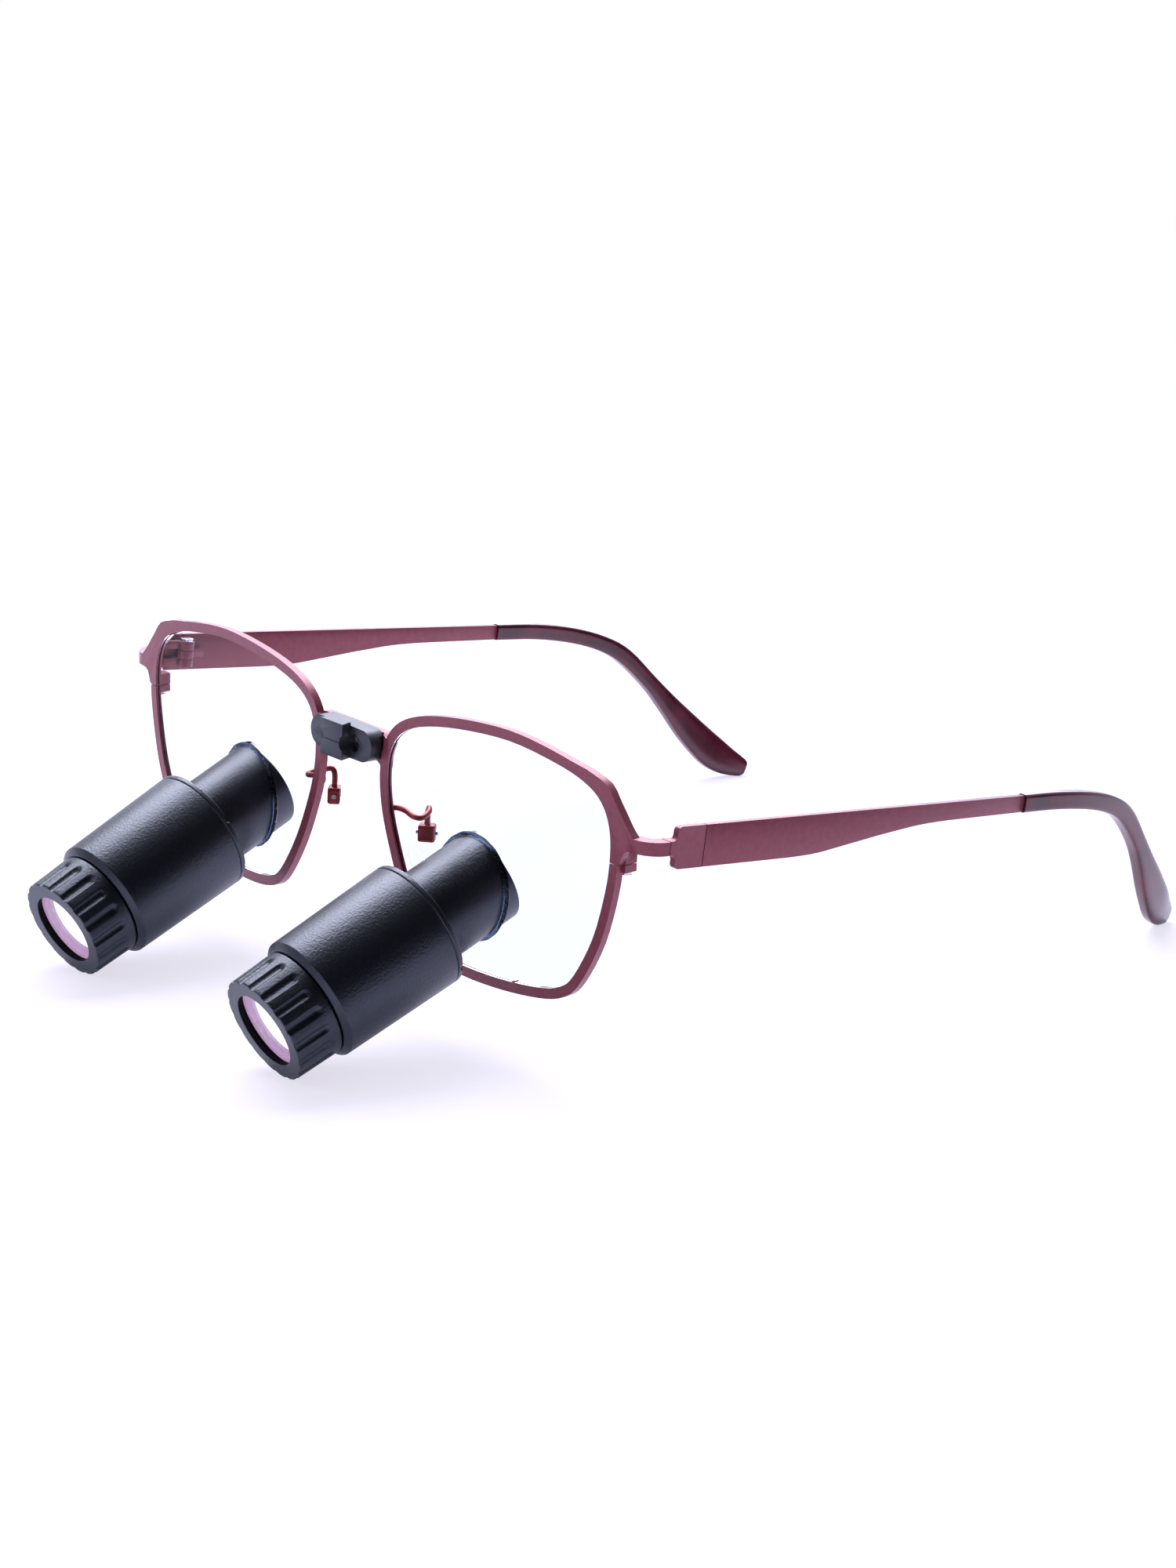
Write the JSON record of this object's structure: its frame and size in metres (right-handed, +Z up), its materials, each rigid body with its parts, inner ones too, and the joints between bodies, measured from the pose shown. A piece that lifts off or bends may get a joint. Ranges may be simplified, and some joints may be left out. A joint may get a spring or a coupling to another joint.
{
  "type": "binocular loupes",
  "caption": "Full-rim metal spectacle frame with a downward-angled prism telescope set through each lens, ribbed focus rings, folding temples and a bridge mounting block",
  "frame": {"origin": "on the table under the middle of the part's length and width", "axes": "+X to the wearer's left, +Y from the front towards the ears, +Z up"},
  "size_m": [0.1402, 0.185, 0.0523],
  "materials": {
    "wine_titanium": "satin burgundy coating",
    "wine_acetate": "polished dark red",
    "black_anodised": "fine-grained satin black",
    "black_polymer": "satin black",
    "steel_screw": "polished",
    "clear_lens": "clear, polished",
    "coated_glass": "polished, purple coating",
    "prism_glass": "polished",
    "clear_silicone": "clear, soft",
    "clear_polymer": "clear",
    "clear_adhesive": "clear, glossy"
  },
  "bodies": {
    "frame_front": {"front_frame": "wine_titanium", "rim_lock_screws": "steel_screw", "bridge_mount": "black_polymer", "bridge_mount_screws": "steel_screw", "nose_pad_screws": "steel_screw", "left_carrier_lens": "clear_lens", "left_pad_arm": "wine_titanium", "left_hinge_front": "wine_titanium", "left_hinge_screw": "steel_screw", "left_prism_housing": "black_anodised", "left_prism_cage": "black_polymer", "left_front_prism": "prism_glass", "left_roof_prism": "prism_glass", "left_rear_ring": "black_anodised", "left_eyepiece_tube": "black_anodised", "left_field_lens": "coated_glass", "left_eyepiece_spacer": "black_polymer", "left_eye_lens": "coated_glass", "left_eyepiece_retainer": "black_anodised", "left_lens_bead": "clear_adhesive", "right_carrier_lens": "clear_lens", "right_pad_arm": "wine_titanium", "right_hinge_front": "wine_titanium", "right_hinge_screw": "steel_screw", "right_prism_housing": "black_anodised", "right_prism_cage": "black_polymer", "right_front_prism": "prism_glass", "right_roof_prism": "prism_glass", "right_rear_ring": "black_anodised", "right_eyepiece_tube": "black_anodised", "right_field_lens": "coated_glass", "right_eyepiece_spacer": "black_polymer", "right_eye_lens": "coated_glass", "right_eyepiece_retainer": "black_anodised", "right_lens_bead": "clear_adhesive"},
    "left_arm": {"left_temple": "wine_titanium", "left_temple_tip": "wine_acetate", "left_hinge_rear": "wine_titanium"},
    "left_pad_unit": {"left_nose_pad": "clear_silicone", "left_pad_insert": "clear_polymer"},
    "left_focus_unit": {"left_focus_ring": "black_anodised"},
    "left_cell_unit": {"left_objective_cell": "black_anodised", "left_objective_lens": "coated_glass", "left_objective_retainer": "black_anodised"},
    "right_arm": {"right_temple": "wine_titanium", "right_temple_tip": "wine_acetate", "right_hinge_rear": "wine_titanium"},
    "right_pad_unit": {"right_nose_pad": "clear_silicone", "right_pad_insert": "clear_polymer"},
    "right_focus_unit": {"right_focus_ring": "black_anodised"},
    "right_cell_unit": {"right_objective_cell": "black_anodised", "right_objective_lens": "coated_glass", "right_objective_retainer": "black_anodised"}
  },
  "joints": [
    {"name": "left_temple_hinge", "type": "hinge", "parent": "frame_front", "child": "left_arm", "pos_m": [0.06735, -0.03859, 0.04006], "axis": [-0.001, 0.099, 0.9951], "range_deg": [0, 88]},
    {"name": "left_pad_rock", "type": "hinge", "parent": "frame_front", "child": "left_pad_unit", "pos_m": [0.01273, -0.04582, 0.02842], "axis": [0.749, 0.6626, 0], "range_deg": [-12, 12]},
    {"name": "left_focus_turn", "type": "hinge", "parent": "frame_front", "child": "left_focus_unit", "pos_m": [0.0284, -0.08925, 0.00806], "axis": [0.0432, 0.9164, 0.3979], "range_deg": [0, 180]},
    {"name": "left_objective_slide", "type": "slide", "parent": "frame_front", "child": "left_cell_unit", "axis": [0.0432, 0.9164, 0.3979], "range_m": [0, 0.0012]},
    {"name": "right_temple_hinge", "type": "hinge", "parent": "frame_front", "child": "right_arm", "pos_m": [-0.06735, -0.03859, 0.04006], "axis": [-0.001, -0.099, -0.9951], "range_deg": [0, 80]},
    {"name": "right_pad_rock", "type": "hinge", "parent": "frame_front", "child": "right_pad_unit", "pos_m": [-0.01273, -0.04582, 0.02842], "axis": [-0.749, 0.6626, 0], "range_deg": [-12, 12]},
    {"name": "right_focus_turn", "type": "hinge", "parent": "frame_front", "child": "right_focus_unit", "pos_m": [-0.0284, -0.08925, 0.00806], "axis": [-0.0432, 0.9164, 0.3979], "range_deg": [0, 180]},
    {"name": "right_objective_slide", "type": "slide", "parent": "frame_front", "child": "right_cell_unit", "axis": [-0.0432, 0.9164, 0.3979], "range_m": [0, 0.0012]}
  ],
  "couplings": [
    {"joint": "left_focus_turn", "follows": "left_objective_slide", "rad_per_m": 2618},
    {"joint": "right_focus_turn", "follows": "right_objective_slide", "rad_per_m": 2618}
  ]
}
